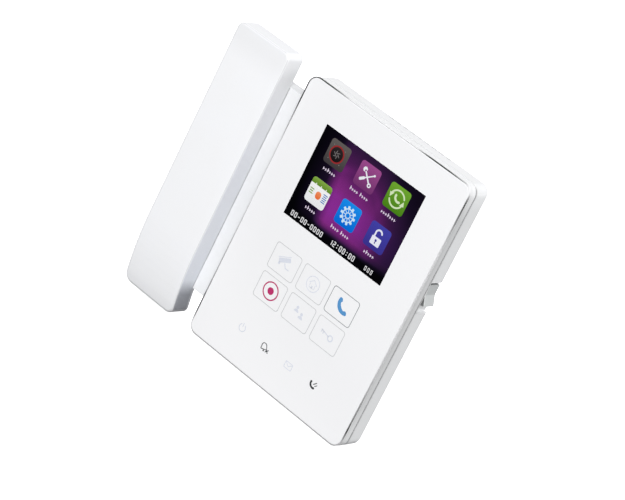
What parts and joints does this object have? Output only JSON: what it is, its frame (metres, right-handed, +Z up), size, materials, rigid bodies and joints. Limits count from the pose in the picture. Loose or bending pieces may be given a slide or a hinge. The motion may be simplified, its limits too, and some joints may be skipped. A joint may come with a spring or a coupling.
{
  "type": "video intercom monitor",
  "caption": "Flat white wall-mounted indoor video door-entry monitor with a colour screen, printed touch keys and a handset held in a side cradle.",
  "frame": {"origin": "centre of the wall bracket's back face, level with the middle of the front panel", "axes": "+X to the right of someone facing the screen, +Y into the wall, +Z up"},
  "size_m": [0.2013, 0.0369, 0.1983],
  "materials": {
    "white_abs": "fine satin moulded white, slight gloss",
    "white_acrylic": "polished, back-printed white acrylic",
    "chrome_trim": "bright plated edge trim",
    "steel": "zinc plated",
    "foam": "closed-cell foam tape",
    "display": "display module",
    "circuit_board": "green solder resist",
    "black_plastic": "moulded black",
    "connector_plastic": "natural nylon",
    "copper_ribbon": "polyimide ribbon with copper tracks"
  },
  "bodies": {
    "monitor": {"wall_bracket": "steel", "rear_cover": "white_abs", "front_frame": "white_abs", "panel_trim": "chrome_trim", "panel_tape": "foam", "front_panel": "white_acrylic", "lcd_module": "display", "lcd_bracket": "steel", "display_ribbon": "copper_ribbon", "touch_board": "circuit_board", "touch_controller": "black_plastic", "touch_ribbon": "copper_ribbon", "main_board": "circuit_board", "main_processor": "black_plastic", "video_decoder": "black_plastic", "power_inductor": "black_plastic", "filter_capacitor": "steel", "door_station_connector": "connector_plastic", "power_connector": "connector_plastic", "loudspeaker": "black_plastic", "speaker_gasket": "foam", "monitor_microphone": "steel", "rocker_housing": "black_plastic", "cradle_cover": "white_abs", "cradle_base": "white_abs", "base_cord_socket": "black_plastic", "hook_spring": "steel", "hook_switch": "black_plastic", "cradle_magnet_upper": "steel", "cradle_magnet_lower": "steel", "cradle_screw_upper": "steel", "cradle_screw_lower": "steel", "case_screw_1": "steel", "case_screw_2": "steel", "case_screw_3": "steel", "case_screw_4": "steel", "board_screw_1": "steel", "board_screw_2": "steel", "board_screw_3": "steel", "board_screw_4": "steel"},
    "handset": {"handset_front_shell": "white_abs", "handset_rear_shell": "white_abs", "earpiece_capsule": "black_plastic", "handset_microphone": "steel", "handset_weight": "steel", "handset_plate_upper": "steel", "handset_plate_lower": "steel", "handset_cord_socket": "black_plastic", "handset_screw_upper": "steel", "handset_screw_lower": "steel"},
    "hook": {"hook_plunger": "white_abs"},
    "rocker": {"rocker_key": "white_abs"}
  },
  "joints": [
    {"name": "handset_lift", "type": "slide", "parent": "monitor", "child": "handset", "axis": [0, -1, 0], "range_m": [0, 0.06]},
    {"name": "hook_travel", "type": "slide", "parent": "monitor", "child": "hook", "axis": [0, -1, 0], "range_m": [0, 0.003]},
    {"name": "power_rocker", "type": "hinge", "parent": "monitor", "child": "rocker", "pos_m": [0.0671, -0.00855, 0.0185], "axis": [0, 1, 0], "range_deg": [0, 24]}
  ],
  "couplings": [
    {"joint": "hook_travel", "follows": "handset_lift", "ratio": 0.05}
  ]
}
